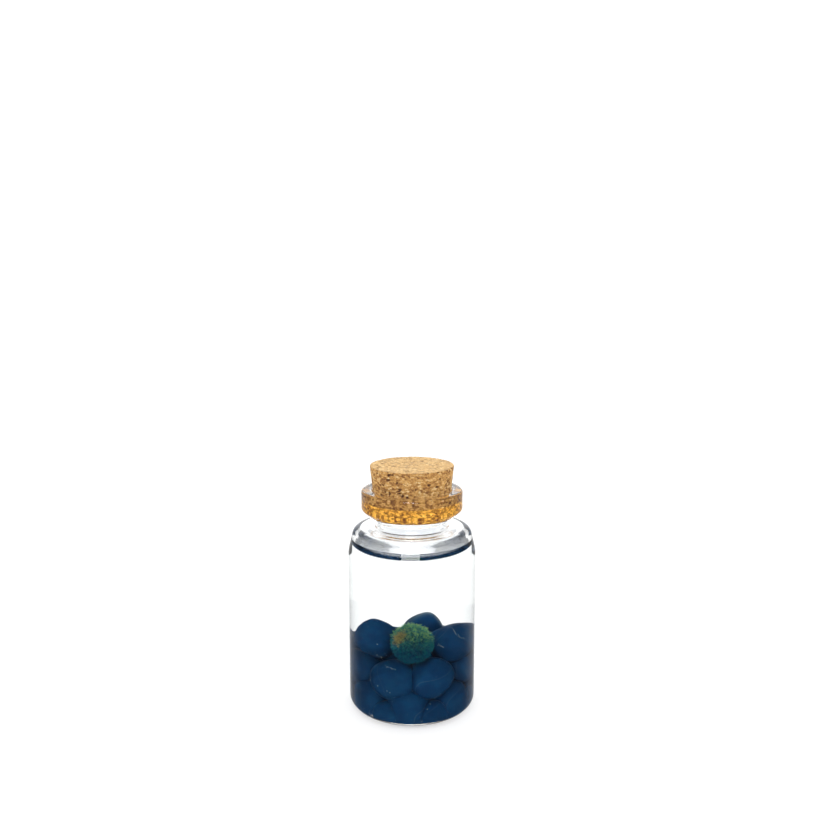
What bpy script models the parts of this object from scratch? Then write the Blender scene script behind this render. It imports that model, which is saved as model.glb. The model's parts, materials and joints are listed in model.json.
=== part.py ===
"""A marimo moss ball in a small corked glass bottle, with black pebbles and water.

Lengths below are in millimetres and are turned into metres by MM.
The origin is the centre of the bottle's foot, on the surface that it stands on. +Z is up.
"""

import math
import random

import bmesh
import bpy
from mathutils import Euler, Vector, noise

MM = 0.001
CLEARANCE = 0.3

# Glass bottle
BODY_RADIUS = 18.5
WALL = 1.2
LIP_TOP = 64.3
LIP_RADIUS = 14.65
LIP_FOOT = 58.6
MOUTH_RADIUS = 11.65
SEAT_RADIUS = 10.8
SEAT_HEIGHT = 57.4
SEAT_DROP = 1.5
NECK_RADIUS = 10.65
NECK_TOP = 55.3
BORE_RADIUS = 9.35
SHOULDER_RADIUS = 16.9
SHOULDER_TOP = 53.25
SHOULDER_FOOT = 46.5
SHOULDER_WALL = 0.7
NECK_FOOT = 53.6
HEEL_ROUND = 3.0
FLOOR = 1.3
PUNT_RADIUS = 10.8
PUNT_HEIGHT = 0.55
BOTTLE_SIDES = 36

# Cork
CORK_TOP = 71.4
CORK_FOOT = 57.7
CORK_TOP_RADIUS = 12.2
CORK_FOOT_RADIUS = 10.4
CORK_SIDES = 32

# Water
WATER_LEVEL = 46.1
WATER_LINE = 49.9
WATER_FOOT = 24.6
WATER_SIDES = 32
CAPILLARY_LENGTH = 2.72
RIM_STEPS = 5
HOLLOW_SWELL = 0.4

# Moss ball
BALL_CENTRE = (0.05, -10.9, 22.5)
BALL_HALF = (5.75, 5.8, 6.3)
BALL_LUMPS = 0.03

# Pebbles
PEBBLE_SEED = 11
PEBBLE_LUMPS = 0.07
HEEL_CORNER = 1.25
WEAR_SHARPNESS = 11
COARSE_CUTS = 2
FINE_CUTS = 3
# Rings of the bed: pebbles in the ring, ring radius, height, first angle, half sizes, cuts
RINGS = (
    (7, 14.7, 3.7, 38.0, (2.7, 2.5, 2.0), COARSE_CUTS),
    (7, 11.7, 5.2, 12.0, (6.3, 6.0, 4.8), FINE_CUTS),
    (2, 3.7, 5.2, 70.0, (6.3, 6.0, 4.8), COARSE_CUTS),
    (7, 11.7, 12.3, -12.0, (6.3, 6.0, 4.8), FINE_CUTS),
    (2, 3.7, 12.3, 160.0, (6.3, 6.0, 4.8), COARSE_CUTS),
)
# Powers that make a lump pointed, round or square
POINTED = 1.3
ROUND = 2.0
SQUARE = 2.3
EVEN = 1.0
# The top of the bed: centre, half sizes, turn about Z and tilt about Y in degrees, power, and how many
# times longer the lump is towards its own -X side
CROWN = (
    ((-7.8, -5.0, 22.3), (5.8, 5.4, 5.7), 0.0, -10.0, POINTED, 1.35),
    ((4.7, 3.4, 22.4), (1.0, 5.4, 5.2), 10.0, -12.0, SQUARE, 6.0),
    ((10.1, -2.5, 19.9), (7.0, 6.6, 5.1), -10.0, 4.0, ROUND, EVEN),
    ((-4.0, 9.2, 17.4), (5.2, 5.0, 3.6), 20.0, 0.0, ROUND, EVEN),
    ((2.9, 12.3, 16.6), (5.0, 4.8, 4.0), 5.0, -8.0, ROUND, EVEN),
    ((10.3, 8.0, 16.8), (5.4, 5.2, 3.6), 50.0, 12.0, ROUND, EVEN),
)

PARTS = bpy.data.collections.new("moss_ball_bottle")
CUTTERS = bpy.data.collections.new("cutters")


class Lump:
    """A rounded body that is kept inside the bottle and clear of its neighbours."""

    def __init__(self, name, centre, half, angles, power, stretch, lumps, cuts):
        self.name = name
        self.centre = Vector(centre)
        self.half = half
        self.turn = Euler([math.radians(angle) for angle in angles]).to_matrix()
        self.power = power
        self.stretch = stretch
        self.lumps = lumps
        self.cuts = cuts

    def reach(self, way):
        """How far the lump goes from its centre along a unit direction, with nothing in its way."""
        local = self.turn.transposed() @ way
        if local.x < 0:
            local.x /= self.stretch
        return sum(abs(local[axis] / self.half[axis]) ** self.power for axis in range(3)) ** (-1 / self.power)


def clear_scene():
    for old in list(bpy.data.objects):
        bpy.data.objects.remove(old)
    for collection in (PARTS, CUTTERS):
        bpy.context.scene.collection.children.link(collection)


def material(name, colour, roughness, metallic=0.0, transmission=0.0, ior=1.45):
    made = bpy.data.materials.new(name)
    made.use_nodes = True
    shader = made.node_tree.nodes["Principled BSDF"]
    shader.inputs["Base Color"].default_value = (*colour, 1.0)
    shader.inputs["Roughness"].default_value = roughness
    shader.inputs["Metallic"].default_value = metallic
    shader.inputs["Transmission Weight"].default_value = transmission
    shader.inputs["IOR"].default_value = ior
    made.diffuse_color = (*colour, 1.0)
    return made


def add_object(name, mesh, collection, finish=None, centre=(0, 0, 0)):
    made = bpy.data.objects.new(name, mesh)
    made.location = Vector(centre) * MM
    collection.objects.link(made)
    if finish:
        mesh.materials.append(finish)
    return made


def fillet(before, corner, after, radius, count):
    """The points of the arc that rounds one corner of an outline."""
    back = (before - corner).normalized()
    ahead = (after - corner).normalized()
    half_angle = back.angle(ahead) / 2
    centre = corner + (back + ahead).normalized() * radius / math.sin(half_angle)
    start = corner + back * radius / math.tan(half_angle) - centre
    end = corner + ahead * radius / math.tan(half_angle) - centre
    sweep = start.angle_signed(end)
    points = []
    for step in range(count + 1):
        angle = -sweep * step / count
        turned = Vector((
            start.x * math.cos(angle) - start.y * math.sin(angle),
            start.x * math.sin(angle) + start.y * math.cos(angle),
        ))
        points.append(centre + turned)
    return points


def rounded(corners):
    """An open outline of (radius, height, rounding, arc steps) corners, with each corner rounded."""
    places = [Vector(corner[:2]) for corner in corners]
    points = [places[0]]
    for index in range(1, len(corners) - 1):
        rounding, count = corners[index][2:]
        if rounding:
            points += fillet(places[index - 1], places[index], places[index + 1], rounding, count)
        else:
            points.append(places[index])
    return points + [places[-1]]


def turned(name, outline, sides, collection, finish=None):
    """A solid of revolution about Z from an outline that ends on the axis."""
    mesh = bpy.data.meshes.new(name)
    points = [(point.x * MM, 0, point.y * MM) for point in outline]
    mesh.from_pydata(points, [(index, index + 1) for index in range(len(points) - 1)], [])
    made = add_object(name, mesh, collection, finish)
    screw = made.modifiers.new("turn", "SCREW")
    screw.axis = "Z"
    screw.steps = sides
    screw.render_steps = sides
    screw.use_merge_vertices = True
    screw.merge_threshold = 0.00001
    screw.use_smooth_shade = True
    return made


def inner_wall():
    """The bottle's inside from the floor to the shoulder, as (radius, height, rounding, steps)."""
    radius = BODY_RADIUS - WALL
    return [
        (radius, FLOOR, HEEL_ROUND - WALL, 3),
        (radius, SHOULDER_FOOT - WALL / 4, 6.0, 1),
        (SHOULDER_RADIUS - WALL * 0.95, SHOULDER_TOP - SHOULDER_WALL, 1.5, 3),
    ]


def build_bottle(finish):
    inside = [
        (0, FLOOR + PUNT_HEIGHT / 2, 0, 0),
        (PUNT_RADIUS - 1, FLOOR + PUNT_HEIGHT / 2, 0, 0),
        *inner_wall(),
        (BORE_RADIUS, SHOULDER_TOP - SHOULDER_WALL, 1.8, 3),
        (BORE_RADIUS, SEAT_HEIGHT - SEAT_DROP, 0.6, 1),
        (SEAT_RADIUS, SEAT_HEIGHT, 0.6, 1),
    ]
    outside = [
        (MOUTH_RADIUS, LIP_TOP, 0.5, 2),
        (LIP_RADIUS, LIP_TOP, 0.8, 2),
        (LIP_RADIUS, LIP_FOOT, 1.3, 2),
        (NECK_RADIUS, NECK_TOP, 0.6, 1),
        (NECK_RADIUS, NECK_FOOT, 0.5, 1),
        (SHOULDER_RADIUS, SHOULDER_TOP, 2.5, 3),
        (BODY_RADIUS, SHOULDER_FOOT, 8.0, 1),
        (BODY_RADIUS, 0, HEEL_ROUND, 4),
        (PUNT_RADIUS, 0, 0, 0),
        (PUNT_RADIUS - 1, PUNT_HEIGHT, 0, 0),
        (0, PUNT_HEIGHT, 0, 0),
    ]
    turned("glass_bottle", rounded(inside + outside), BOTTLE_SIDES, PARTS, finish)


def build_cork(finish):
    outline = [
        (0, CORK_TOP, 0, 0),
        (CORK_TOP_RADIUS, CORK_TOP, 0.4, 2),
        (CORK_FOOT_RADIUS, CORK_FOOT, 0.4, 2),
        (0, CORK_FOOT, 0, 0),
    ]
    turned("cork_stopper", rounded(outline), CORK_SIDES, PARTS, finish)


def room_inside(start, way):
    """How far a point inside the bottle can go along a direction before it meets the glass."""
    radius = BODY_RADIUS - WALL - CLEARANCE
    near, far = 0.0, 3 * BODY_RADIUS
    for _ in range(30):
        middle = (near + far) / 2
        point = start + way * middle
        side = radius - math.hypot(point.x, point.y)
        height = point.z - FLOOR - CLEARANCE - PUNT_HEIGHT / 2
        if min(side, height, side + height - HEEL_CORNER) > 0:
            near = middle
        else:
            far = middle
    return near


def radius_along(lump, way, lumps):
    """The lump's radius along a direction, worn round where the glass or a neighbour stops it."""
    wave = noise.noise(way * 1.3 + lump.centre) + 0.4 * noise.noise(way * 3.1 - lump.centre)
    limits = [lump.reach(way) * (1 + lump.lumps * wave), room_inside(lump.centre, way)]
    for other in lumps:
        if other is lump:
            continue
        apart = other.centre - lump.centre
        towards = apart.normalized()
        facing = way.dot(towards)
        if facing > 0:
            own = lump.reach(towards)
            share = own / (own + other.reach(-towards))
            limits.append((apart.length * share - CLEARANCE / 2) / facing)
    return sum(limit ** -WEAR_SHARPNESS for limit in limits) ** (-1 / WEAR_SHARPNESS)


def lump_mesh(name, lump, lumps, swell=0.0):
    """A cube cut into small squares and blown out to the lump's radius on every side."""
    ball = bmesh.new()
    bmesh.ops.create_cube(ball, size=2)
    bmesh.ops.subdivide_edges(ball, edges=ball.edges[:], cuts=lump.cuts, use_grid_fill=True)
    for vertex in ball.verts:
        spread = Vector([math.tan(part * math.pi / 4) for part in vertex.co])
        way = lump.turn @ spread.normalized()
        vertex.co = way * (radius_along(lump, way, lumps) + swell) * MM
    mesh = bpy.data.meshes.new(name)
    ball.to_mesh(mesh)
    ball.free()
    mesh.shade_smooth()
    return mesh


def ringed_pebbles(chance):
    """The pebbles under the top ones, each nudged off its place in its ring."""
    for count, ring, height, first_angle, half, cuts in RINGS:
        for index in range(count):
            angle = math.radians(first_angle + 360 * index / count + chance.uniform(-6, 6))
            reach = ring + chance.uniform(-0.7, 0.3)
            size = chance.uniform(0.9, 1.1)
            rise = height + chance.uniform(-0.1, 0.1) * half[0]
            centre = (reach * math.cos(angle), reach * math.sin(angle), rise)
            angles = (chance.uniform(-20, 20), chance.uniform(-20, 20), chance.uniform(0, 360))
            yield centre, [part * size for part in half], angles, ROUND, EVEN, PEBBLE_LUMPS, cuts


def all_lumps():
    """The moss ball first, and then the pebbles from the floor up."""
    ball = Lump("marimo_moss_ball", BALL_CENTRE, BALL_HALF, (0, 0, 0), ROUND, EVEN, BALL_LUMPS, FINE_CUTS)
    pebbles = list(ringed_pebbles(random.Random(PEBBLE_SEED)))
    for centre, half, turn, tilt, power, stretch in CROWN:
        pebbles.append((centre, half, (0, tilt, turn), power, stretch, PEBBLE_LUMPS, FINE_CUTS))
    named = [Lump(f"pebble_{number:02d}", *pebble) for number, pebble in enumerate(pebbles, 1)]
    return [ball, *named]


def build_lumps(lumps, moss, stone):
    for lump in lumps:
        finish = moss if lump is lumps[0] else stone
        mesh = lump_mesh(lump.name, lump, lumps)
        add_object(lump.name, mesh, PARTS, finish, lump.centre)


def climb_width(rise):
    """How far from the water's edge its surface has sunk to a rise, less a constant."""
    length = CAPILLARY_LENGTH
    return length * math.acosh(2 * length / rise) - math.sqrt(4 * length ** 2 - rise ** 2)


def water_rim(edge_radius):
    """The surface from the flat middle up to the line where it meets the glass."""
    top = WATER_LINE - WATER_LEVEL
    for step in range(1, RIM_STEPS):
        rise = top * (step / RIM_STEPS) ** 1.5
        yield edge_radius - climb_width(rise) + climb_width(top), WATER_LEVEL + rise, 0, 0


def build_water(finish, lumps):
    """The clear water over the pebbles, with a hollow where the ball and each top pebble stand in it."""
    _, (body_radius, bend_height, rounding, steps), (tip_radius, tip_height, *_) = inner_wall()
    side_radius = body_radius - CLEARANCE
    share = (WATER_LINE - bend_height) / (tip_height - bend_height)
    edge_radius = side_radius + (tip_radius - body_radius) * share
    outline = rounded([
        (0, WATER_LEVEL, 0, 0),
        *water_rim(edge_radius),
        (edge_radius, WATER_LINE, 0, 0),
        (side_radius, bend_height, rounding, steps),
        (side_radius, WATER_FOOT, 0, 0),
        (0, WATER_FOOT, 0, 0),
    ])
    water = turned("water", outline, WATER_SIDES, PARTS, finish)
    for lump in lumps:
        if lump.centre.z + lump.half[2] > WATER_FOOT - HOLLOW_SWELL:
            mesh = lump_mesh(f"{lump.name}_hollow", lump, lumps, HOLLOW_SWELL)
            cutter = add_object(mesh.name, mesh, CUTTERS, centre=lump.centre)
            cutter.hide_render = True
            cutter.display_type = "WIRE"
            cut = water.modifiers.new(cutter.name, "BOOLEAN")
            cut.operation = "DIFFERENCE"
            cut.object = cutter


def build():
    clear_scene()
    glass = material("clear_glass", (0.95, 0.97, 0.97), 0.02, transmission=1.0, ior=1.5)
    cork = material("pressed_cork", (0.53, 0.29, 0.10), 0.85)
    moss = material("green_moss", (0.06, 0.13, 0.03), 0.95)
    stone = material("black_pebble", (0.012, 0.02, 0.032), 0.35)
    water = material("clear_water", (0.97, 0.99, 1.0), 0.0, transmission=1.0, ior=1.333)
    build_bottle(glass)
    build_cork(cork)
    lumps = all_lumps()
    build_lumps(lumps, moss, stone)
    build_water(water, lumps)


build()
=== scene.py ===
"""A marimo moss ball under water in a small corked glass bottle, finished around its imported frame.

Lengths are in metres. The bottle stands on z = 0 with its axis on the Z axis. The camera looks along +Y.
"""

import json
import math
import random

import bmesh
import bpy
from bpy.props import FloatProperty, FloatVectorProperty, IntProperty, PointerProperty
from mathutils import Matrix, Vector, noise

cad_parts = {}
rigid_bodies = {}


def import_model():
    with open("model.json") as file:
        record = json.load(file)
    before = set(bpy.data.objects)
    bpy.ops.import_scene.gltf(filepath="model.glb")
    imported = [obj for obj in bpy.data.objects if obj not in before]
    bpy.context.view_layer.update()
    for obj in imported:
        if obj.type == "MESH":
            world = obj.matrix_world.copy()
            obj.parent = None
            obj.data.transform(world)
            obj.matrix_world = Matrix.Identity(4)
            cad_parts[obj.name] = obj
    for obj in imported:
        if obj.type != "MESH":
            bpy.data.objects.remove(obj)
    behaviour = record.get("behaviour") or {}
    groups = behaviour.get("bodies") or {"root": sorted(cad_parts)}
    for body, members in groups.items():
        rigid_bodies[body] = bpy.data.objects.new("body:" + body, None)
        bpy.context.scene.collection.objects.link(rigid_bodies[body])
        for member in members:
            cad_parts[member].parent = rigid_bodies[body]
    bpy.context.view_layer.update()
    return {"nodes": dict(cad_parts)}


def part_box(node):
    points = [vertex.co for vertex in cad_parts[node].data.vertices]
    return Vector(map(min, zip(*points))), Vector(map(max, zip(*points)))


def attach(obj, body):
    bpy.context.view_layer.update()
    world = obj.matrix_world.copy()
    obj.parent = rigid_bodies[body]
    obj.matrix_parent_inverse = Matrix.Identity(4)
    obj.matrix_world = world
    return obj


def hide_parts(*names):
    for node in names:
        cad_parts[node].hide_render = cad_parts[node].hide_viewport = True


bl_info = {
    "name": "Moss Ball Bottle",
    "version": (1, 0, 0),
    "blender": (4, 5, 0),
    "location": "View3D > Sidebar > Moss Ball",
    "description": "Builds a marimo moss ball in a small corked bottle of water, on a pale floor",
    "category": "Add Mesh",
}

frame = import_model()
BODY = "root"
MM = 0.001

BOTTLE_LOW, BOTTLE_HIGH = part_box("glass_bottle")
CORK_LOW, CORK_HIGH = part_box("cork_stopper")
BALL_LOW, BALL_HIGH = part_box("marimo_moss_ball")
PEBBLES = sorted(name for name in frame["nodes"] if name.startswith("pebble"))

# Finishes along the bottle's outline: glass against air, and glass against water
DRY, WET = 0, 1
# Finishes along the water's outline: its open surface, and where it touches the glass
OPEN, TOUCHING = 0, 1

GLASS_IOR = 1.5
WATER_IOR = 1.333
# A surface between two clear materials bends light by the ratio of the two. Where that is close to 1, as on
# the wet glass, hardly anything is mirrored head-on.
WET_GLASS_IOR = GLASS_IOR / WATER_IOR
# What the two sides of the glass mirror head-on. Wet glass should mirror a third of one percent, which shows
# as pale dots on the stones at the render's number of samples, so it mirrors nothing.
DRY_MIRROR, WET_MIRROR = (1.0, 1.0, 1.0), (0.0, 0.0, 0.0)


# ---------------------------------------------------------------------------------------------------------
# Settings
# ---------------------------------------------------------------------------------------------------------

def length(name, description, default):
    """A property that holds a length in metres."""
    return FloatProperty(name=name, description=description, default=default, unit="LENGTH", precision=5)


def colour(name, description, default):
    """A property that holds a linear colour."""
    return FloatVectorProperty(
        name=name, description=description, default=default, subtype="COLOR", min=0.0, max=1.0)


def strength(name, description, default):
    """A property that holds the strength of a light, where 1 is paper white."""
    return FloatProperty(name=name, description=description, default=default, min=0.0)


class BottleSettings(bpy.types.PropertyGroup):
    """The glass bottle"""

    body_radius: length(
        "Body radius", "Outside radius of the straight body", (BOTTLE_HIGH.x - BOTTLE_LOW.x) / 2)
    wall: length("Wall", "Thickness of the body's glass", 1.2 * MM)
    lip_top: length("Lip top", "Height of the mouth", BOTTLE_HIGH.z)
    lip_radius: length("Lip radius", "Outside radius of the lip", 14.65 * MM)
    lip_foot: length("Lip foot", "Height of the lip's underside", 58.6 * MM)
    mouth_radius: length("Mouth radius", "Inside radius at the mouth", 11.65 * MM)
    seat_radius: length("Seat radius", "Inside radius at the cork's foot", 10.8 * MM)
    seat_height: length("Seat height", "Height of the cork's foot in the bore", 57.4 * MM)
    neck_radius: length("Neck radius", "Outside radius of the neck", 10.65 * MM)
    neck_top: length("Neck top", "Height where the neck widens to the lip", 55.3 * MM)
    bore_radius: length("Bore radius", "Inside radius of the neck", 9.35 * MM)
    shoulder_radius: length("Shoulder radius", "Radius of the shoulder's upper edge", 16.9 * MM)
    shoulder_top: length("Shoulder top", "Height of the shoulder", 53.25 * MM)
    shoulder_foot: length("Shoulder foot", "Height where the body starts to draw in", 46.5 * MM)
    heel: length("Heel", "Rounding of the foot's outer edge", 3.0 * MM)
    floor: length("Floor", "Thickness of the bottle's floor", 1.3 * MM)
    punt_radius: length("Punt radius", "Radius of the pushed-up middle of the foot", 10.8 * MM)
    punt_height: length("Punt height", "Height of the pushed-up middle of the foot", 0.55 * MM)
    sides: IntProperty(name="Sides", description="Facets around the glass", default=160, min=12)
    tint: colour("Tint", "Colour of the glass", (0.985, 0.995, 0.992))


class CorkSettings(bpy.types.PropertyGroup):
    """The cork stopper"""

    top: length("Top", "Height of the cork's top", CORK_HIGH.z)
    foot: length("Foot", "Height of the cork's foot", CORK_LOW.z)
    top_radius: length("Top radius", "Radius at the top", (CORK_HIGH.x - CORK_LOW.x) / 2)
    waist_radius: length("Waist radius", "Radius where it enters the mouth", 11.38 * MM)
    grip: length("Grip", "Height below which it presses on the glass", 63.6 * MM)
    # Below this height the cork is painted brighter and more amber: a painted glow where it presses on the
    # glass
    painted_glow_below: length("Amber below", "Height below which the pressed cork glows amber", 60.7 * MM)
    squeeze: length("Squeeze", "How far it presses past the bore", 0.09 * MM)
    granule: length("Granule", "Width of a cork granule", 0.85 * MM)
    groove: length("Groove", "Depth of the joints between granules", 0.09 * MM)
    pit: length("Pit", "Depth of the pits of lost granules", 0.42 * MM)
    pale: colour("Pale cork", "The lightest granules", (0.69, 0.39, 0.115))
    amber: colour("Amber cork", "The common granules", (0.48, 0.23, 0.052))
    brown: colour("Brown cork", "The darkest granules", (0.22, 0.085, 0.02))
    dust_and_painted_light: colour("Dust", "The sanded top", (0.83, 0.64, 0.34))


class WaterSettings(bpy.types.PropertyGroup):
    """The water and the air bubbles in it"""

    level: length("Level", "Height of the flat surface", 46.1 * MM)
    line: length("Line", "Height that the water climbs to on the glass", 49.9 * MM)
    gap: length("Gap", "Distance kept from the glass", 0.008 * MM)
    tint: colour("Tint", "Colour that the water takes light towards", (0.80, 0.93, 1.0))
    depth: FloatProperty(name="Depth of tint", description="Absorption per metre", default=1.2, min=0.0)
    bubble: length("Bubble", "Radius of the largest air bubble", 0.14 * MM)
    # Painted highlight: the bubbles are painted pale in place of the light that they mirror
    bubble_painted_glint: colour("Bubble tint", "Colour of the film on the bubbles", (0.50, 0.62, 0.66))


class PebbleSettings(bpy.types.PropertyGroup):
    """The black pebbles"""

    grow: length("Grow", "How far the stones reach past their coarse solids", 0.7 * MM)
    press: length("Press", "How much further the stones below the moss ball reach", 0.35 * MM)
    sink: length("Sink", "How much lower the undersides of the lowest stones reach", 1.1 * MM)
    dents: length("Dents", "Depth of the hollows worn into the stones", 0.12 * MM)
    black: colour("Black", "The stones' common colour", (0.0025, 0.035, 0.100))
    slate: colour("Slate", "The paler patches on the stones", (0.0042, 0.048, 0.125))
    vein: colour("Vein", "The thin pale veins", (0.08, 0.13, 0.17))
    # Painted light: the paler colour laid on the tops of the high stones at the back, where light catches
    # them
    dust_and_painted_light: colour("Dust", "What has settled on the high stones at the back", (0.045, 0.105, 0.155))


class MossSettings(bpy.types.PropertyGroup):
    """The marimo moss ball"""

    tufts: IntProperty(name="Tufts", description="Tufts in each of the two coats", default=1500, min=10)
    threads: IntProperty(name="Threads", description="Threads in a tuft", default=9, min=3)
    coat: length("Coat", "Length of the outer threads", 1.7 * MM)
    thread: length("Thread", "Thickness of a thread at its root", 0.10 * MM)
    spread: length("Spread", "How far a tuft's threads stand from its middle", 0.3 * MM)
    core: colour("Core", "The matted middle", (0.003, 0.034, 0.065))
    root: colour("Root", "The roots of the threads", (0.003, 0.060, 0.150))
    green: colour("Green", "The middle of the threads", (0.010, 0.195, 0.245))
    tip: colour("Tip", "The young tips", (0.40, 0.76, 0.25))
    brown: colour("Brown patch", "The withered patch", (0.56, 0.50, 0.20))


class StageSettings(bpy.types.PropertyGroup):
    """The floor, the light and the camera"""

    camera_side: length("Camera side", "Camera's place along X", 0.595 * MM)
    camera_back: length("Camera back", "Camera's distance along -Y", 240 * MM)
    camera_height: length("Camera height", "Camera's height", 120.84 * MM)
    camera_dip: FloatProperty(
        name="Camera dip", description="How far the camera looks down", default=0.144, subtype="ANGLE")
    lens: FloatProperty(name="Lens", description="Focal length", default=37.02, subtype="DISTANCE_CAMERA")
    floor_radius: length("Floor radius", "Radius of the floor", 2.0)
    floor_colour: colour("Floor", "Colour of the floor", (0.45, 0.452, 0.455))
    floor_glow: strength("Floor glow", "Light that comes up through the floor", 0.56)
    sky: strength("Sky", "Brightness of the white all round", 1.2)
    raised: strength("Raised", "Brightness above the horizon that shows within the glass", 3.4)
    beside: strength("Beside", "Brightness at the left and the right that shows in the glass", 0.5)
    front: strength("Front", "Brightness that mirrors in the glass from the camera's side", 0.06)
    front_light: strength("Front light", "Light that falls on the pieces from the camera's side", 0.93)
    back_light: strength("Back light", "Light that falls on the pieces from behind", 1.3)
    top_light: strength("Top light", "Light that falls on the pieces from above as well", 0.5)
    key: FloatProperty(name="Key", description="Power of the softbox", default=3.4, min=0.0, unit="POWER")
    echoes: IntProperty(
        name="Echoes", description="How often light may turn back within the glass", default=16, min=1)


class MossBallBottleSettings(bpy.types.PropertyGroup):
    """Everything that can be set"""

    bottle: PointerProperty(type=BottleSettings)
    cork: PointerProperty(type=CorkSettings)
    water: PointerProperty(type=WaterSettings)
    pebbles: PointerProperty(type=PebbleSettings)
    moss: PointerProperty(type=MossSettings)
    stage: PointerProperty(type=StageSettings)


# ---------------------------------------------------------------------------------------------------------
# Shapes
# ---------------------------------------------------------------------------------------------------------

ROUND_STEPS = 8
LONGEST_RUN = 1.2 * MM


def fillet(before, corner, after, radius):
    """The points of the arc that rounds one corner of an outline."""
    back = (before - corner).normalized()
    ahead = (after - corner).normalized()
    half_angle = back.angle(ahead) / 2
    centre = corner + (back + ahead).normalized() * radius / math.sin(half_angle)
    start = corner + back * radius / math.tan(half_angle) - centre
    end = corner + ahead * radius / math.tan(half_angle) - centre
    sweep = start.angle_signed(end)
    points = []
    for step in range(ROUND_STEPS + 1):
        angle = -sweep * step / ROUND_STEPS
        turned_point = Vector((
            start.x * math.cos(angle) - start.y * math.sin(angle),
            start.x * math.sin(angle) + start.y * math.cos(angle),
        ))
        points.append(centre + turned_point)
    return points


def rounded(corners):
    """An outline of (point, finish) pairs from (radius, height, rounding, finish) corners.

    The finish belongs to the stretch that follows the corner. Long straight runs are divided, so that the
    shading of a rounded corner stays close to it.
    """
    places = [Vector(corner[:2]) for corner in corners]
    marked = [(places[0], corners[0][3])]
    for index in range(1, len(corners)):
        _, _, rounding, finish = corners[index]
        if rounding:
            points = fillet(places[index - 1], places[index], places[index + 1], rounding)
        else:
            points = [places[index]]
        last, last_finish = marked[-1]
        runs = max(1, math.ceil((points[0] - last).length / LONGEST_RUN))
        marked += [(last.lerp(points[0], step / runs), last_finish) for step in range(1, runs)]
        marked += [(point, finish) for point in points]
    return marked


def turned(name, outline, sides, finishes):
    """A closed solid of revolution about Z from an outline of (point, finish) pairs."""
    shape = bmesh.new()
    rings = []
    for point, _ in outline:
        count = sides if point.x else 1
        angles = [2 * math.pi * step / sides for step in range(count)]
        ring = [(point.x * math.cos(angle), point.x * math.sin(angle), point.y) for angle in angles]
        rings.append([shape.verts.new(place) for place in ring])
    for this, following, (_, finish) in zip(rings, rings[1:], outline):
        for step in range(sides):
            after = (step + 1) % sides
            corners = [this[step % len(this)], this[after % len(this)]]
            corners += [following[after % len(following)], following[step % len(following)]]
            face = shape.faces.new(list(dict.fromkeys(corners)))
            face.material_index = finish
    bmesh.ops.recalc_face_normals(shape, faces=shape.faces)
    return made_from(shape, name, finishes)


def made_from(shape, name, finishes):
    """A smooth-shaded object from a bmesh, which is freed."""
    mesh = bpy.data.meshes.new(name)
    shape.to_mesh(mesh)
    shape.free()
    return made_object(name, mesh, finishes)


def made_object(name, mesh, finishes):
    mesh.shade_smooth()
    for finish in finishes:
        mesh.materials.append(finish)
    made = bpy.data.objects.new(name, mesh)
    bpy.context.scene.collection.objects.link(made)
    return made


def step_up(low, high, value):
    """A smooth step from 0 at low to 1 at high, which may lie on either side."""
    part = min(1.0, max(0.0, (value - low) / (high - low)))
    return part * part * (3 - 2 * part)


def add_numbers(mesh, name, numbers):
    """Keeps one number for each vertex under a name that a material can read."""
    mesh.attributes.new(name, "FLOAT", "POINT").data.foreach_set("value", numbers)


# ---------------------------------------------------------------------------------------------------------
# Finishes
# ---------------------------------------------------------------------------------------------------------

class Nodes:
    """A node tree with short ways to add and join its nodes."""

    def __init__(self, owner):
        owner.use_nodes = True
        self.tree = owner.node_tree

    def node(self, kind, inputs=None, **settings):
        """A node with its settings made and its inputs set to values or joined to sockets."""
        made = self.tree.nodes.new(kind)
        for key, value in settings.items():
            setattr(made, key, value)
        for key, value in (inputs or {}).items():
            self.put(made.inputs[key], value)
        return made

    def put(self, socket, value):
        """Joins a socket to another, or sets it to a number or a colour, which may lack its alpha."""
        if isinstance(value, bpy.types.NodeSocket):
            self.tree.links.new(value, socket)
            return
        preset = socket.default_value
        lacks_alpha = isinstance(preset, bpy.types.bpy_prop_array) and len(value) < len(preset)
        socket.default_value = (*value, 1.0) if lacks_alpha else value

    def between(self, value, low, high, to_low=0.0, to_high=1.0):
        """A smooth step between two numbers as a value goes from low to high."""
        inputs = {"Value": value, "From Min": low, "From Max": high, "To Min": to_low, "To Max": to_high}
        return self.node("ShaderNodeMapRange", inputs, interpolation_type="SMOOTHSTEP").outputs["Result"]

    def math(self, operation, first, second):
        made = self.node("ShaderNodeMath", operation=operation)
        self.put(made.inputs[0], first)
        self.put(made.inputs[1], second)
        return made.outputs["Value"]

    def choose(self, share_of_second, first, second):
        """A mix of two numbers."""
        mixer = self.node("ShaderNodeMix", {"Factor": share_of_second, "A": first, "B": second})
        return mixer.outputs["Result"]


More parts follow.
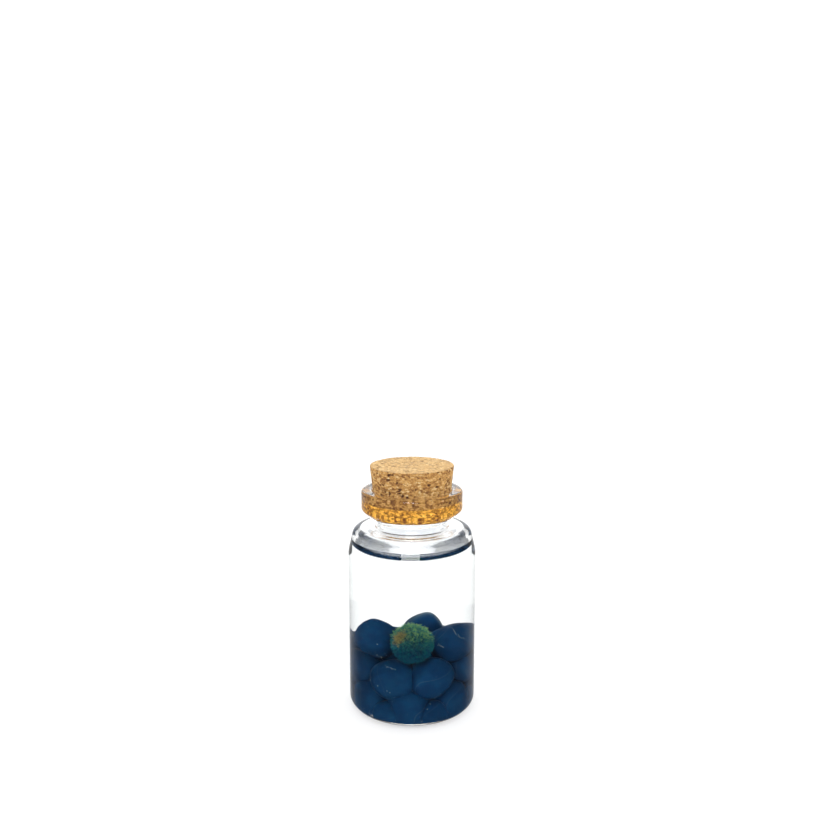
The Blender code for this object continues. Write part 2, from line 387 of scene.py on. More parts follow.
class Finish(Nodes):
    """A material with one Principled shader."""

    def __init__(self, name):
        self.material = bpy.data.materials.new(name)
        super().__init__(self.material)
        self.shader = self.tree.nodes["Principled BSDF"]
        self.output = self.tree.nodes["Material Output"]

    def set(self, **inputs):
        """Sets the shader's inputs, named with _ for a space."""
        for key, value in inputs.items():
            self.put(self.shader.inputs[key.replace("_", " ")], value)

    def place(self, scale=(1, 1, 1)):
        """The place on the piece in metres, times a scale."""
        where = self.node("ShaderNodeTexCoord").outputs["Object"]
        return self.node("ShaderNodeMapping", {"Vector": where, "Scale": scale}).outputs["Vector"]

    def noise(self, place, scale, detail=3.0, roughness=0.55):
        inputs = {"Vector": place, "Scale": scale, "Detail": detail, "Roughness": roughness}
        return self.node("ShaderNodeTexNoise", inputs).outputs["Fac"]

    def number(self, name):
        """A number kept on the mesh under a name."""
        return self.node("ShaderNodeAttribute", attribute_name=name).outputs["Fac"]

    def mix(self, share_of_second, first, second, blend="MIX"):
        mixer = self.node("ShaderNodeMix", data_type="RGBA", blend_type=blend)
        self.put(mixer.inputs["Factor"], share_of_second)
        self.put(mixer.inputs[6], first)
        self.put(mixer.inputs[7], second)
        return mixer.outputs[2]

    def ramp(self, value, *stops):
        """A colour ramp through (place, colour) stops."""
        made = self.node("ShaderNodeValToRGB", {"Fac": value})
        elements = made.color_ramp.elements
        while len(elements) < len(stops):
            elements.new(0.5)
        for element, (place, shade) in zip(elements, stops):
            element.position = place
            element.color = (*shade, 1.0)
        return made.outputs["Color"]

    def bump(self, height, strength, distance):
        inputs = {"Height": height, "Strength": strength, "Distance": distance}
        self.set(Normal=self.node("ShaderNodeBump", inputs).outputs["Normal"])


def glass_finish(name, tint, ior, mirror):
    """Glass with the slight unevenness of a blown surface, and the colour that it mirrors head-on in."""
    finish = Finish(name)
    finish.set(Base_Color=tint, Roughness=0.0, IOR=ior, Transmission_Weight=1.0, Specular_Tint=mirror)
    finish.bump(finish.noise(finish.place(), 90.0, detail=1.0), 0.04, 0.2 * MM)
    return finish.material


def water_finish(name, settings, ior):
    """Water, which takes light towards its tint with depth."""
    finish = Finish(name)
    finish.set(Base_Color=(1.0, 1.0, 1.0), Roughness=0.0, IOR=ior, Transmission_Weight=1.0)
    inputs = {"Color": settings.tint, "Density": settings.depth}
    absorbed = finish.node("ShaderNodeVolumeAbsorption", inputs).outputs["Volume"]
    finish.put(finish.output.inputs["Volume"], absorbed)
    return finish.material


def cork_finish(settings):
    """Pressed cork: granules of many tones, dark joints, a pale sanded top, painted shade in the pits and
    just within the lip, and a painted amber glow where it presses on the glass.
    """
    finish = Finish("pressed_cork")
    tone = finish.number("tone")
    speckle = finish.noise(finish.place((1, 1, 2.2)), 1900.0, detail=5.0, roughness=0.7)
    tone = finish.math("ADD", tone, finish.between(speckle, 0.3, 0.7, -0.34, 0.30))
    granules = finish.ramp(
        tone, (0.0, settings.brown), (0.24, settings.amber), (0.7, settings.pale), (1.0, settings.dust_and_painted_light))
    sanded = finish.math("MULTIPLY", finish.number("sanded"), 0.36)
    granules = finish.mix(sanded, granules, settings.dust_and_painted_light)
    # Painted light: below the glow height the granules are multiplied brighter and more amber, a painted
    # glow where the cork presses on the glass
    granules = finish.mix(finish.number("amber"), granules, (1.85, 1.8, 0.8), "MULTIPLY")
    # The joints take their own dark colour; the pits of lost granules are darkened as painted shade
    shade = finish.mix(finish.number("hollow"), (1.0, 1.0, 1.0), (0.30, 0.20, 0.13))
    finish.set(Base_Color=finish.mix(1.0, granules, shade, "MULTIPLY"))
    finish.set(Roughness=finish.between(speckle, 0.2, 0.8, 0.72, 0.95))
    finish.bump(speckle, 0.5, 0.06 * MM)
    return finish.material


def pebble_finish(settings):
    """Smooth black stone with slate patches, thin veins and a wet polish, and painted light on the tops of
    the high stones at the back.
    """
    finish = Finish("black_pebble")
    moved = finish.node("ShaderNodeVectorMath", operation="ADD")
    finish.put(moved.inputs[0], finish.place())
    finish.put(moved.inputs[1], finish.node("ShaderNodeObjectInfo").outputs["Random"])
    where = moved.outputs["Vector"]
    patches = finish.between(finish.noise(where, 170.0, detail=4.0), 0.42, 0.66)
    stone = finish.mix(patches, settings.black, settings.slate)
    # Painted light: the high stones at the back take the paler colour where their tops catch the light
    stone = finish.mix(finish.number("dusty"), stone, settings.dust_and_painted_light)
    grain = finish.noise(where, 2600.0, detail=3.0, roughness=0.7)
    stone = finish.mix(finish.between(grain, 0.62, 0.8, 0.0, 0.35), stone, settings.vein)
    off_vein = finish.math("SUBTRACT", finish.noise(where, 60.0, detail=0.0), 0.5)
    vein = finish.between(finish.math("ABSOLUTE", off_vein, 0.0), 0.0, 0.004, 0.3, 0.0)
    stone = finish.mix(vein, stone, settings.vein)
    finish.set(Base_Color=stone, IOR=1.1)
    finish.set(Roughness=finish.between(finish.noise(where, 420.0), 0.3, 0.7, 0.42, 0.6))
    finish.bump(finish.noise(where, 900.0, detail=4.0), 0.12, 0.05 * MM)
    return finish.material


def moss_thread_finish(settings):
    """Threads from dark roots to young tips, with a withered patch, painted brighter and yellower towards
    the top of the ball as painted light from above.
    """
    finish = Finish("moss_threads")
    along = finish.number("along")
    reach = finish.math("ADD", along, finish.between(finish.number("tone"), 0.0, 1.0, -0.3, 0.2))
    # Painted light: the higher its tuft sits on the ball, the further a thread reaches up the ramp, brighter
    # and yellower, as painted light from above
    reach = finish.math("MULTIPLY", reach, finish.between(finish.number("raised"), -0.5, 0.9, 0.40, 1.15))
    green = finish.ramp(reach, (0.1, settings.root), (0.5, settings.green), (1.0, settings.tip))
    withered = finish.mix(along, settings.core, settings.brown)
    green = finish.mix(finish.number("withered"), green, withered)
    finish.set(Base_Color=green, Roughness=0.6, IOR=1.15)
    finish.set(Subsurface_Weight=0.25, Subsurface_Radius=(0.4, 1.0, 0.2), Subsurface_Scale=0.2 * MM)
    finish.bump(finish.noise(finish.place(), 4000.0), 0.2, 0.02 * MM)
    return finish.material


def moss_core_finish(settings):
    """The dark felt under the threads."""
    finish = Finish("moss_core")
    felt = finish.noise(finish.place(), 1500.0, detail=5.0, roughness=0.7)
    finish.set(Base_Color=finish.ramp(felt, (0.35, settings.core), (0.7, settings.root)))
    finish.set(Roughness=0.9, IOR=1.15)
    finish.bump(felt, 0.8, 0.2 * MM)
    return finish.material


def floor_finish(settings):
    """A pale matt board, lit a little from below as well, with the faintest grain."""
    finish = Finish("pale_floor")
    grain = finish.noise(finish.place(), 60.0, detail=4.0)
    darker = [part * 0.97 for part in settings.floor_colour]
    finish.set(Base_Color=finish.ramp(grain, (0.3, darker), (0.7, settings.floor_colour)))
    finish.set(Roughness=0.9, Specular_IOR_Level=0.1)
    finish.set(Emission_Color=(1.0, 1.0, 1.0), Emission_Strength=settings.floor_glow)
    return finish.material


# ---------------------------------------------------------------------------------------------------------
# Glass bottle
# ---------------------------------------------------------------------------------------------------------

# Thickness of the glass at the shoulder's top, and how much of the wall's thickness its edge keeps
SHOULDER_WALL = 0.7 * MM
SHOULDER_EDGE_SHARE = 0.95


def inner_wall(size, gap=0.0):
    """The corners of the bottle's inside between its floor and the line where the water ends."""
    radius = size.body_radius - size.wall
    bend = size.shoulder_foot - size.wall / 4
    top_radius = size.shoulder_radius - size.wall * SHOULDER_EDGE_SHARE
    top = size.shoulder_top - SHOULDER_WALL
    water = bpy.context.scene.moss_ball_bottle.water
    line_share = (water.line - bend) / (top - bend)
    line_radius = radius + (top_radius - radius) * line_share
    floor = size.floor + gap
    return {
        "floor": (0, floor + size.punt_height / 2),
        "punt": (size.punt_radius - MM, floor + size.punt_height / 2),
        "heel": (radius - gap, floor),
        "bend": (radius - gap, bend),
        "line": (line_radius - gap, water.line),
        "top": (top_radius - gap, top),
    }


def build_bottle(scene):
    """The bottle, turned from one outline that goes up its inside and down its outside."""
    size = scene.bottle
    inside = inner_wall(size)
    corners = [
        (*inside["floor"], 0, WET),
        (*inside["punt"], 1.5 * MM, WET),
        (*inside["heel"], size.heel - size.wall, WET),
        (*inside["bend"], 6 * MM, WET),
        (*inside["line"], 0, DRY),
        (*inside["top"], 1.5 * MM, DRY),
        (size.bore_radius, inside["top"][1], 1.8 * MM, DRY),
        (size.bore_radius, size.seat_height - 1.5 * MM, 0.6 * MM, DRY),
        (size.seat_radius, size.seat_height, 0.6 * MM, DRY),
        (size.mouth_radius, size.lip_top, 0.5 * MM, DRY),
        (size.lip_radius, size.lip_top, 0.8 * MM, DRY),
        (size.lip_radius, size.lip_foot, 1.3 * MM, DRY),
        (size.neck_radius, size.neck_top, 0.6 * MM, DRY),
        (size.neck_radius, size.shoulder_top + 0.35 * MM, 0.5 * MM, DRY),
        (size.shoulder_radius, size.shoulder_top, 2.5 * MM, DRY),
        (size.body_radius, size.shoulder_foot, 8 * MM, DRY),
        (size.body_radius, 0, size.heel, DRY),
        (size.punt_radius, 0, 0.4 * MM, DRY),
        (size.punt_radius - MM, size.punt_height, 0.4 * MM, DRY),
        (0, size.punt_height, 0, DRY),
    ]
    finishes = [
        glass_finish("clear_glass", size.tint, GLASS_IOR, DRY_MIRROR),
        glass_finish("clear_glass_under_water", size.tint, WET_GLASS_IOR, WET_MIRROR),
    ]
    bottle = turned("bottle", rounded(corners), size.sides, finishes)
    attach(bottle, BODY)
    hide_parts("glass_bottle")


# ---------------------------------------------------------------------------------------------------------
# Water
# ---------------------------------------------------------------------------------------------------------

CAPILLARY_LENGTH = 2.72 * MM
RIM_STEPS = 36


def climb_width(rise):
    """How far from the water's edge its surface has sunk to a rise, less a constant."""
    double = 2 * CAPILLARY_LENGTH
    return CAPILLARY_LENGTH * math.acosh(double / rise) - math.sqrt(double ** 2 - rise ** 2)


def build_water(scene):
    """The water, whose surface climbs the glass at its edge."""
    size = scene.water
    inside = inner_wall(scene.bottle, size.gap)
    top = size.line - size.level
    edge_radius = inside["line"][0]
    surface = [(0, size.level, 0, OPEN)]
    for step in range(1, RIM_STEPS):
        rise = top * (step / RIM_STEPS) ** 1.8
        surface.append((edge_radius - climb_width(rise) + climb_width(top), size.level + rise, 0, OPEN))
    corners = [
        *surface,
        (*inside["line"], 0, TOUCHING),
        (*inside["bend"], 6 * MM, TOUCHING),
        (*inside["heel"], scene.bottle.heel - scene.bottle.wall, TOUCHING),
        (*inside["punt"], 1.5 * MM, TOUCHING),
        (*inside["floor"], 0, TOUCHING),
    ]
    finishes = [
        water_finish("clear_water", size, WATER_IOR),
        water_finish("water_against_glass", size, 1.0),
    ]
    water = turned("still_water", rounded(corners), scene.bottle.sides, finishes)
    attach(water, BODY)
    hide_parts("water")


# ---------------------------------------------------------------------------------------------------------
# Cork
# ---------------------------------------------------------------------------------------------------------

CORK_SEED = 3
CORK_SIDES = 430
CORK_STEP = 0.165 * MM
LOST_SHARE = 0.07
GRANULE_SQUASH = 1.9
GRANULE_WANDER = 0.35
# These make a number of its own, from 0 to 1, out of a granule's middle
OWN_WAY = (12.9898, 78.233, 37.719)
OWN_FACTOR = 43758.5453
GRAIN_ROUGHNESS = 0.03 * MM
# How much painted shade darkens the cork within the lip, and how far the edge of its painted amber glow
# wanders
LIP_SHADE = 0.2
GLOW_EDGE_WANDER = 0.2 * MM


def cork_outline(size, bottle):
    """The cork's outline from the middle of its top to the middle of its foot."""
    slope = (bottle.mouth_radius - bottle.seat_radius) / (bottle.lip_top - bottle.seat_height)
    grip_radius = bottle.mouth_radius - (bottle.lip_top - size.grip) * slope + size.squeeze
    heel = size.foot + 0.3 * MM
    heel_radius = bottle.seat_radius + (heel - bottle.seat_height) * slope + size.squeeze
    corners = [
        (0, size.top, 0, 0),
        (size.top_radius, size.top, 0.35 * MM, 0),
        (size.waist_radius, bottle.lip_top + 0.1 * MM, 0, 0),
        (grip_radius, size.grip, 0, 0),
        (heel_radius, heel, 0, 0),
        (heel_radius - 0.4 * MM, size.foot, 0, 0),
        (0, size.foot, 0, 0),
    ]
    return [point for point, _ in rounded(corners)]


def evenly_spaced(points, step):
    """The points of an outline taken again at equal distances along it."""
    spaced = [points[0]]
    left = step
    for before, after in zip(points, points[1:]):
        run = (after - before).length
        gone = 0.0
        while run - gone >= left:
            gone += left
            left = step
            spaced.append(before.lerp(after, gone / run))
        left -= run - gone
    spaced[-1] = points[-1]
    return spaced


def granule_at(place, size):
    """The granule's own number, its joint and its pit at a place in the cork, each from 0 to 1."""
    cell = Vector((place.x, place.y, place.z * GRANULE_SQUASH)) / size.granule
    wander = noise.noise_vector(cell * 0.9) * GRANULE_WANDER
    distances, centres = noise.voronoi(cell + wander)
    own = math.sin(centres[0].dot(OWN_WAY)) * OWN_FACTOR % 1
    joint = 1 - step_up(0.0, 0.16, distances[1] - distances[0])
    lost = step_up(0.04, 0.22, distances[1] - distances[0]) if own < LOST_SHARE else 0.0
    return own, joint, lost


def build_cork(scene):
    """The cork, with joints and lost granules cut into it above where it presses on the glass."""
    size = scene.cork
    noise.seed_set(CORK_SEED)
    points = evenly_spaced(cork_outline(size, scene.bottle), CORK_STEP)
    outline = [(point, 0) for point in points]
    cork = turned("cork", outline, CORK_SIDES, [cork_finish(size)])
    mesh = cork.data
    numbers = {"tone": [], "hollow": [], "sanded": [], "amber": []}
    normals = [vertex.normal.copy() for vertex in mesh.vertices]
    for vertex, normal in zip(mesh.vertices, normals):
        place = vertex.co.copy()
        own, joint, lost = granule_at(place, size)
        rough = noise.noise(place / (0.35 * MM))
        free = step_up(size.grip, size.grip + 0.5 * MM, place.z)
        depth = size.groove * joint + size.pit * lost + GRAIN_ROUGHNESS * (rough + own)
        vertex.co = place - normal * depth * free
        # Painted shade: the cork's tone is lowered just within the lip
        lip_painted_shade = step_up(scene.bottle.lip_top + 0.8 * MM, scene.bottle.lip_top - 0.6 * MM, place.z)
        glow_height = place.z + GLOW_EDGE_WANDER * rough
        numbers["tone"].append(0.9 * own + 0.05 * rough - 0.02 - LIP_SHADE * lip_painted_shade)
        # Dark joints, and painted shade in the pits of lost granules
        numbers["hollow"].append(min(1.0, 0.45 * joint + 0.9 * lost))
        numbers["sanded"].append(step_up(0.3, 0.9, normal.z))
        # Where the painted amber glow is laid, below the glow height
        numbers["amber"].append(step_up(size.painted_glow_below + 0.6 * MM, size.painted_glow_below, glow_height))
    for name, values in numbers.items():
        add_numbers(mesh, name, values)
    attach(cork, BODY)
    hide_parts("cork_stopper")


# ---------------------------------------------------------------------------------------------------------
# Pebbles
# ---------------------------------------------------------------------------------------------------------

PEBBLE_SMOOTHING = 2
# What a stone keeps clear of the glass, and how it is cut back over the rounding of the heel
HAIR = 0.04 * MM
HEEL_SHARE = 0.6
HEEL_SLOPE = 0.7
# Heights, or places along Y, from where a change to the stones is nothing to where it is whole
SINK_FADE = (7 * MM, 3 * MM)
PRESS_FADE = (17 * MM, 13 * MM)
# Painted light on the high stones at the back fades in over these heights and places along Y
TOP_LIGHT_HEIGHT_FADE = (20 * MM, 27 * MM)
TOP_LIGHT_BACK_FADE = (0.0, 4 * MM)


def inside_glass(point, bottle):
    """The point, or the nearest one a hair inside the bottle's wall, floor and heel."""
    reach = math.hypot(point.x, point.y)
    widest = bottle.body_radius - bottle.wall - HAIR
    on_punt = step_up(bottle.punt_radius, bottle.punt_radius - MM, reach)
    lowest = bottle.floor + HAIR + bottle.punt_height / 2 * on_punt
    height = max(point.z, lowest)
    heel = HEEL_SHARE * (bottle.heel - bottle.wall)
    widest -= max(0.0, heel - (height - bottle.floor)) * HEEL_SLOPE
    share_kept = min(1.0, widest / reach) if reach else 1.0
    return Vector((point.x * share_kept, point.y * share_kept, height))


def build_pebble(node, size, bottle, finish):
    """One stone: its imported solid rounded, filled out to touch its neighbours, and worn by noise."""
    shape = bmesh.new()
    shape.from_mesh(frame["nodes"][node].data)
    bmesh.ops.remove_doubles(shape, verts=shape.verts, dist=0.001 * MM)
    stone = made_from(shape, f"stone_{node[-2:]}", [finish])
    smoothing = stone.modifiers.new("rounding", "SUBSURF")
    smoothing.levels = smoothing.render_levels = PEBBLE_SMOOTHING
    bpy.context.view_layer.update()
    worked_out = stone.evaluated_get(bpy.context.evaluated_depsgraph_get())
    rounded_stone = bpy.data.meshes.new_from_object(worked_out)
    stone.modifiers.clear()
    stone.data = rounded_stone
    normals = [vertex.normal.copy() for vertex in rounded_stone.vertices]
    for vertex, normal in zip(rounded_stone.vertices, normals):
        worn = noise.noise(vertex.co / (3.2 * MM)) + 0.4 * noise.noise(vertex.co / (1.3 * MM))
        sunk = step_up(*SINK_FADE, vertex.co.z) * size.sink
        pressed = step_up(*PRESS_FADE, vertex.co.z) * size.press
        reach = size.grow + size.dents * worn + pressed + sunk / 2
        grown = vertex.co + normal * reach - Vector((0, 0, sunk))
        vertex.co = inside_glass(grown, bottle)
    rounded_stone.shade_smooth()
    places = [vertex.co for vertex in rounded_stone.vertices]
    # Painted light: the tops of the high stones at the back are painted paler
    dusty = [step_up(*TOP_LIGHT_BACK_FADE, place.y) * step_up(*TOP_LIGHT_HEIGHT_FADE, place.z) for place in places]
    add_numbers(rounded_stone, "dusty", dusty)
    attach(stone, BODY)
    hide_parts(node)


# ---------------------------------------------------------------------------------------------------------
# Air bubbles
# ---------------------------------------------------------------------------------------------------------

BUBBLE_SEED = 9
BUBBLE_SCATTER = 0.15 * MM
# Runs of bubbles seen from the front: the X and Z of the first and of the last in mm, and how many
BUBBLE_RUNS = (
    ((-8.5, 18.3), (-6.9, 17.0), 7),
    ((-6.9, 17.0), (-3.9, 16.4), 10),
    ((2.0, 17.8), (5.0, 20.4), 8),
    ((6.3, 21.6), (7.9, 20.8), 8),
    ((-9.0, 22.3), (-8.8, 22.2), 2),
    ((-6.4, 19.0), (-6.1, 18.4), 2),
    ((9.3, 25.2), (14.2, 22.2), 14),
    ((-11.0, 12.0), (-3.6, 9.2), 4),
    ((2.4, 3.6), (9.0, 11.0), 5),
)


def bubble_finish(settings):
    """A bead of air seen from the water, painted pale as a painted highlight of the light that it mirrors.
    """
    finish = Finish("air_bubble")
    # Painted highlight: a pale base colour in place of the light that the bubble mirrors
    finish.set(Base_Color=settings.bubble_painted_glint, Roughness=0.15, IOR=1.25, Transmission_Weight=0.35)
    finish.bump(finish.noise(finish.place(), 3000.0), 0.2, 0.02 * MM)
    return finish.material


def stone_front(stones, place_x, place_z):
    """The first point on a stone behind a place on the front of the bottle, or None."""
    start = Vector((place_x, -1.0, place_z))
    found = [stone.ray_cast(start, Vector((0, 1, 0))) for stone in stones]
    points = [point for hit, point, _, _ in found if hit]
    return min(points, key=lambda point: point.y, default=None)


def build_bubbles(scene):
    """Beads of air that cling to the front of the stones, some of them round the foot of the moss ball."""
    chance = random.Random(BUBBLE_SEED)
    stones = [piece for piece in bpy.context.scene.objects if piece.name.startswith("stone_")]
    shape = bmesh.new()
    for first, last, count in BUBBLE_RUNS:
        for index in range(count):
            along = (index + chance.uniform(-0.3, 0.3)) / count
            place = Vector(first).lerp(Vector(last), along) * MM
            place_x = place.x + chance.gauss(0, BUBBLE_SCATTER)
            place_z = place.y + chance.gauss(0, BUBBLE_SCATTER)
            point = stone_front(stones, place_x, place_z)
            radius = scene.water.bubble * chance.uniform(0.35, 1.0)
            if point:
                centre = point - Vector((0, radius * 0.8, 0))
                made = bmesh.ops.create_icosphere(shape, subdivisions=2, radius=radius)
                bmesh.ops.translate(shape, vec=centre, verts=made["verts"])
    bubbles = made_from(shape, "air_bubbles", [bubble_finish(scene.water)])
    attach(bubbles, BODY)
    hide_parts("water")


# ---------------------------------------------------------------------------------------------------------
# Moss ball
# ---------------------------------------------------------------------------------------------------------

MOSS_SEED = 4
CORE_SHARE = 0.80
COAT_SHARE = 0.77
UNDER_COAT_LENGTH = 0.55
# Where a thread's knee lies along it, the share of its thickness that is left there, and its points in all
KNEE = 0.55
KNEE_THICKNESS = 0.72
THREAD_POINTS = 7
GOLDEN_ANGLE = math.pi * (3 - math.sqrt(5))
BROWN_WAY = Vector((-0.70, -0.50, 0.50)).normalized()


def ball_size():
    """The middle and the half sizes of the ball, to the tips of its threads."""
    return (BALL_LOW + BALL_HIGH) / 2, (BALL_HIGH - BALL_LOW) / 2


def on_ball(way, level):
    """A point in a direction from the ball's middle, at a share of the way out to the tips."""
    centre, half = ball_size()
    lumps = 0.08 * noise.noise(way * 2.3) + 0.05 * noise.noise(way * 5.1)
    return centre + Vector([way[axis] * half[axis] * level * (0.96 + lumps) for axis in range(3)])


def inside_ball(point):
    """The point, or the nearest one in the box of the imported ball."""
    return Vector([min(max(point[axis], BALL_LOW[axis]), BALL_HIGH[axis]) for axis in range(3)])


def build_moss_core(size):
    """The matted ball that the threads stand on."""
    core = bmesh.new()
    bmesh.ops.create_icosphere(core, subdivisions=5, radius=1.0)
    for vertex in core.verts:
        way = vertex.co.normalized()
        matted = 0.02 * noise.noise(way * 14) + 0.012 * noise.noise(way * 31)
        vertex.co = on_ball(way, CORE_SHARE + matted)
    made = made_from(core, "moss_core", [moss_core_finish(size)])
    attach(made, BODY)
    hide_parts("marimo_moss_ball")


def stray(chance, distance):
    """A random step of about a distance."""
    return Vector([chance.gauss(0, distance) for _ in range(3)])


def add_thread(points, faces, path, thickness):
    """Adds a three-sided thread that tapers along its root, knee and tip."""
    root, knee, tip = path
    across = (tip - root).orthogonal().normalized()
    beside = (tip - root).normalized().cross(across)
    first = len(points)
    for centre, share_left in ((root, 1.0), (knee, KNEE_THICKNESS)):
        for corner in range(3):
            turn = 2 * math.pi * corner / 3
            edge = across * math.cos(turn) + beside * math.sin(turn)
            points.append(centre + edge * thickness * share_left / 2)
    points.append(tip)
    for corner in range(3):
        after = (corner + 1) % 3
        faces.append((first + corner, first + after, first + 3 + after, first + 3 + corner))
        faces.append((first + 3 + corner, first + 3 + after, first + 6))
    faces.append((first + 2, first + 1, first))


def build_coat(name, reach, size, finish, seed):
    """One coat of tufts all round the ball, whose threads lean together at their tips."""
    chance = random.Random(seed)
    noise.seed_set(MOSS_SEED)
    points, faces, along, tones, raised, withered = [], [], [], [], [], []
    for index in range(size.tufts):
        height = 1 - 2 * (index + 0.5) / size.tufts
        angle = index * GOLDEN_ANGLE
        flat = math.sqrt(1 - height ** 2)
        way = Vector((flat * math.cos(angle), flat * math.sin(angle), height))
        way = (way + stray(chance, 0.03)).normalized()
        middle = on_ball(way, COAT_SHARE)
        lean = (way + 0.35 * noise.noise_vector(way * 4.5) + stray(chance, 0.16)).normalized()
        tuft_tip = middle + lean * reach * chance.uniform(0.5, 1.0)
        tone = chance.random()
        patch = step_up(0.86, 0.97, way.dot(BROWN_WAY) + 0.12 * noise.noise(way * 6))
        for _ in range(size.threads):
            root = middle + stray(chance, size.spread)
            tip = inside_ball(tuft_tip + stray(chance, size.spread * 0.5))
            knee = root.lerp(tip, KNEE) + stray(chance, 0.07 * reach) + way * 0.08 * reach
            add_thread(points, faces, (root, knee, tip), size.thread * chance.uniform(0.6, 1.0))
            along += [0.0] * 3 + [KNEE] * 3 + [1.0]
            tones += [0.6 * tone + 0.4 * chance.random()] * THREAD_POINTS
            # The tuft's height on the ball, which the finish reads to paint light on top
            raised += [way.z] * THREAD_POINTS
            withered += [patch] * THREAD_POINTS
    mesh = bpy.data.meshes.new(name)
    mesh.from_pydata(points, [], faces)
    for kind, numbers in (("along", along), ("tone", tones), ("raised", raised), ("withered", withered)):
        add_numbers(mesh, kind, numbers)
    coat = made_object(name, mesh, [finish])
    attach(coat, BODY)
    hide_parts("marimo_moss_ball")


# ---------------------------------------------------------------------------------------------------------
# Stage
# ---------------------------------------------------------------------------------------------------------

SOFTBOX_PLACE = Vector((-0.03, -0.7, 0.28))
SOFTBOX_TARGET = Vector((0, 0, 0.05))
SOFTBOX_SIDES = (0.45, 0.30)
# How far a direction points along an axis, from -1 to 1, where a change in the sky starts and where it ends
SIDE_FADE = (0.1, 0.5)
MIRROR_FADE = (0.2, 0.95)
RAISED_FADE = (0.0, 0.2)
LIGHT_FADE = (-0.9, 0.5)
TOP_FADE = (0.1, 1.0)
# A ray that mirrors sees the dim camera side until it has met this many surfaces. A ray that has met more
# than the second number sees the sky that shows within the glass
MIRROR_TURNS = 2.5
WITHIN_TURNS = 1.5


def build_floor(size):
    """A round board, far wider than the camera sees."""
    shape = bmesh.new()
    bmesh.ops.create_circle(shape, cap_ends=True, segments=128, radius=size.floor_radius)
    floor = made_from(shape, "floor", [floor_finish(size)])
    floor.visible_glossy = False


def build_sky(size):
    """White all round. What lights the pieces comes more from above and behind than from the front. What
    mirrors in the outside of the glass is dim on the camera's side, and what shows within it from above the
    horizon is brighter than white.
    """
    world = bpy.data.worlds.new("white_studio")
    bpy.context.scene.world = world
    sky = Nodes(world)
    way = sky.node("ShaderNodeTexCoord").outputs["Generated"]
    axes = sky.node("ShaderNodeSeparateXYZ", {"Vector": way}).outputs
    path = sky.node("ShaderNodeLightPath").outputs
    sideways = sky.between(sky.math("ABSOLUTE", axes["X"], 0.0), *SIDE_FADE)
    behind = sky.choose(sideways, size.sky, size.beside)
    mirrored = sky.between(axes["Y"], *MIRROR_FADE, size.front, behind)
    early = sky.math("LESS_THAN", path["Ray Depth"], MIRROR_TURNS)
    first_mirror = sky.math("MULTIPLY", path["Is Glossy Ray"], early)
    raised = sky.between(axes["Z"], *RAISED_FADE, size.sky, size.raised)
    within = sky.choose(sideways, raised, size.beside)
    been_within = sky.math("GREATER_THAN", path["Ray Depth"], WITHIN_TURNS)
    deeper = sky.choose(been_within, size.sky, within)
    seen = sky.choose(first_mirror, deeper, mirrored)
    level_light = sky.between(axes["Y"], *LIGHT_FADE, size.front_light, size.back_light)
    lighting = sky.math("ADD", level_light, sky.between(axes["Z"], *TOP_FADE, 0.0, size.top_light))
    lit = sky.math("GREATER_THAN", path["Diffuse Depth"], 0.5)
    background = sky.tree.nodes["Background"]
    sky.put(background.inputs["Strength"], sky.choose(lit, seen, lighting))
    sky.put(background.inputs["Color"], (1.0, 1.0, 1.0))


def build_softbox(size):
    """A softbox that only mirrors and shows in the glass, because the sky lights the pieces."""
    light = bpy.data.lights.new("softbox", "AREA")
    light.shape = "RECTANGLE"
    light.size, light.size_y = SOFTBOX_SIDES
    light.energy = size.key
    made = bpy.data.objects.new("softbox", light)
    made.location = SOFTBOX_PLACE
    made.rotation_euler = (SOFTBOX_TARGET - SOFTBOX_PLACE).to_track_quat("-Z", "Y").to_euler()
    made.visible_diffuse = False
    bpy.context.scene.collection.objects.link(made)


def build_camera(size):
    """The camera, in front of the bottle and above it, looking down a little."""
    camera = bpy.data.cameras.new("camera")
    camera.sensor_width = 36.0
    camera.lens = size.lens
    camera.clip_start = 0.01
    made = bpy.data.objects.new("camera", camera)
    made.location = (size.camera_side, -size.camera_back, size.camera_height)
    made.rotation_euler = (math.pi / 2 - size.camera_dip, 0, 0)
    bpy.context.scene.collection.objects.link(made)
    bpy.context.scene.camera = made


# ---------------------------------------------------------------------------------------------------------
# Operators
# ---------------------------------------------------------------------------------------------------------

class MOSSBALL_OT_bottle(bpy.types.Operator):
    """Turn the glass bottle"""

    bl_idname = "mossball.bottle"
    bl_label = "Glass Bottle"

    def execute(self, context):
        build_bottle(context.scene.moss_ball_bottle)
        return {"FINISHED"}


class MOSSBALL_OT_water(bpy.types.Operator):
    """Fill the bottle with water"""

    bl_idname = "mossball.water"
    bl_label = "Water"

    def execute(self, context):
        build_water(context.scene.moss_ball_bottle)
        return {"FINISHED"}


class MOSSBALL_OT_cork(bpy.types.Operator):
    """Press the cork stopper out of its granules"""

    bl_idname = "mossball.cork"
    bl_label = "Cork Stopper"

    def execute(self, context):
        build_cork(context.scene.moss_ball_bottle)
        return {"FINISHED"}


class MOSSBALL_OT_pebbles(bpy.types.Operator):
    """Lay the black pebbles"""

    bl_idname = "mossball.pebbles"
    bl_label = "Pebbles"

    def execute(self, context):
        settings = context.scene.moss_ball_bottle
        finish = pebble_finish(settings.pebbles)
        for node in PEBBLES:
            build_pebble(node, settings.pebbles, settings.bottle, finish)
        return {"FINISHED"}


class MOSSBALL_OT_bubbles(bpy.types.Operator):
    """Set the air bubbles on the pebbles"""

    bl_idname = "mossball.bubbles"
    bl_label = "Air Bubbles"

    def execute(self, context):
        build_bubbles(context.scene.moss_ball_bottle)
        return {"FINISHED"}


class MOSSBALL_OT_moss(bpy.types.Operator):
    """Grow the moss ball's core and its two coats of threads"""

    bl_idname = "mossball.moss"
    bl_label = "Moss Ball"

    def execute(self, context):
        size = context.scene.moss_ball_bottle.moss
        build_moss_core(size)
        finish = moss_thread_finish(size)
        build_coat("moss_under_coat", size.coat * UNDER_COAT_LENGTH, size, finish, MOSS_SEED)
        build_coat("moss_outer_coat", size.coat, size, finish, MOSS_SEED + 1)
        return {"FINISHED"}


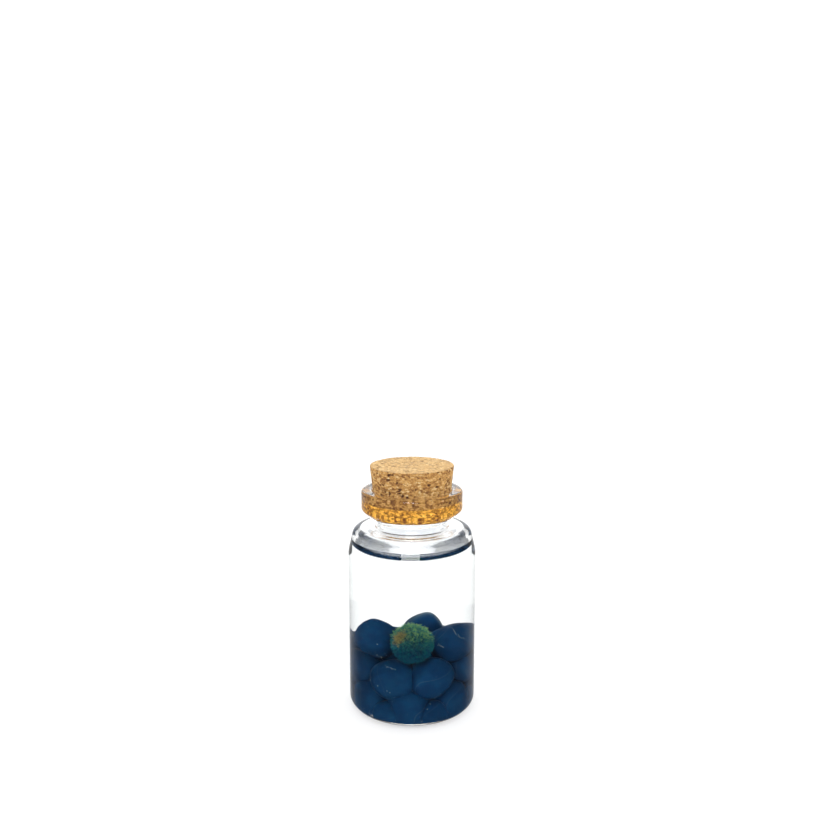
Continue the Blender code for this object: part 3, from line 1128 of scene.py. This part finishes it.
class MOSSBALL_OT_stage(bpy.types.Operator):
    """Set the floor, the light and the camera"""

    bl_idname = "mossball.stage"
    bl_label = "Stage"

    def execute(self, context):
        size = context.scene.moss_ball_bottle.stage
        build_floor(size)
        build_sky(size)
        build_softbox(size)
        build_camera(size)
        context.scene.view_settings.view_transform = "Standard"
        paths = context.scene.cycles
        paths.glossy_bounces = size.echoes
        paths.transmission_bounces = size.echoes
        paths.max_bounces = 2 * size.echoes
        return {"FINISHED"}


class MOSSBALL_PT_panel(bpy.types.Panel):
    """Lists the settings and the operators of each piece"""

    bl_idname = "MOSSBALL_PT_panel"
    bl_label = "Moss Ball Bottle"
    bl_space_type = "VIEW_3D"
    bl_region_type = "UI"
    bl_category = "Moss Ball"

    def draw(self, context):
        settings = context.scene.moss_ball_bottle
        for group, *operators in GROUPS:
            box = self.layout.box()
            for operator in operators:
                box.operator(operator.bl_idname)
            values = getattr(settings, group)
            for name in values.__annotations__:
                box.prop(values, name)


GROUPS = (
    ("stage", MOSSBALL_OT_stage),
    ("bottle", MOSSBALL_OT_bottle),
    ("water", MOSSBALL_OT_water),
    ("cork", MOSSBALL_OT_cork),
    ("pebbles", MOSSBALL_OT_pebbles, MOSSBALL_OT_bubbles),
    ("moss", MOSSBALL_OT_moss),
)

CLASSES = (
    BottleSettings,
    CorkSettings,
    WaterSettings,
    PebbleSettings,
    MossSettings,
    StageSettings,
    MossBallBottleSettings,
    *(operator for _, *operators in GROUPS for operator in operators),
    MOSSBALL_PT_panel,
)


def register():
    for kind in CLASSES:
        bpy.utils.register_class(kind)
    bpy.types.Scene.moss_ball_bottle = PointerProperty(type=MossBallBottleSettings)


def unregister():
    del bpy.types.Scene.moss_ball_bottle
    for kind in reversed(CLASSES):
        bpy.utils.unregister_class(kind)


def main():
    register()
    bpy.ops.mossball.stage()
    bpy.ops.mossball.bottle()
    bpy.ops.mossball.water()
    bpy.ops.mossball.cork()
    bpy.ops.mossball.pebbles()
    bpy.ops.mossball.bubbles()
    bpy.ops.mossball.moss()


if __name__ == "__main__":
    main()
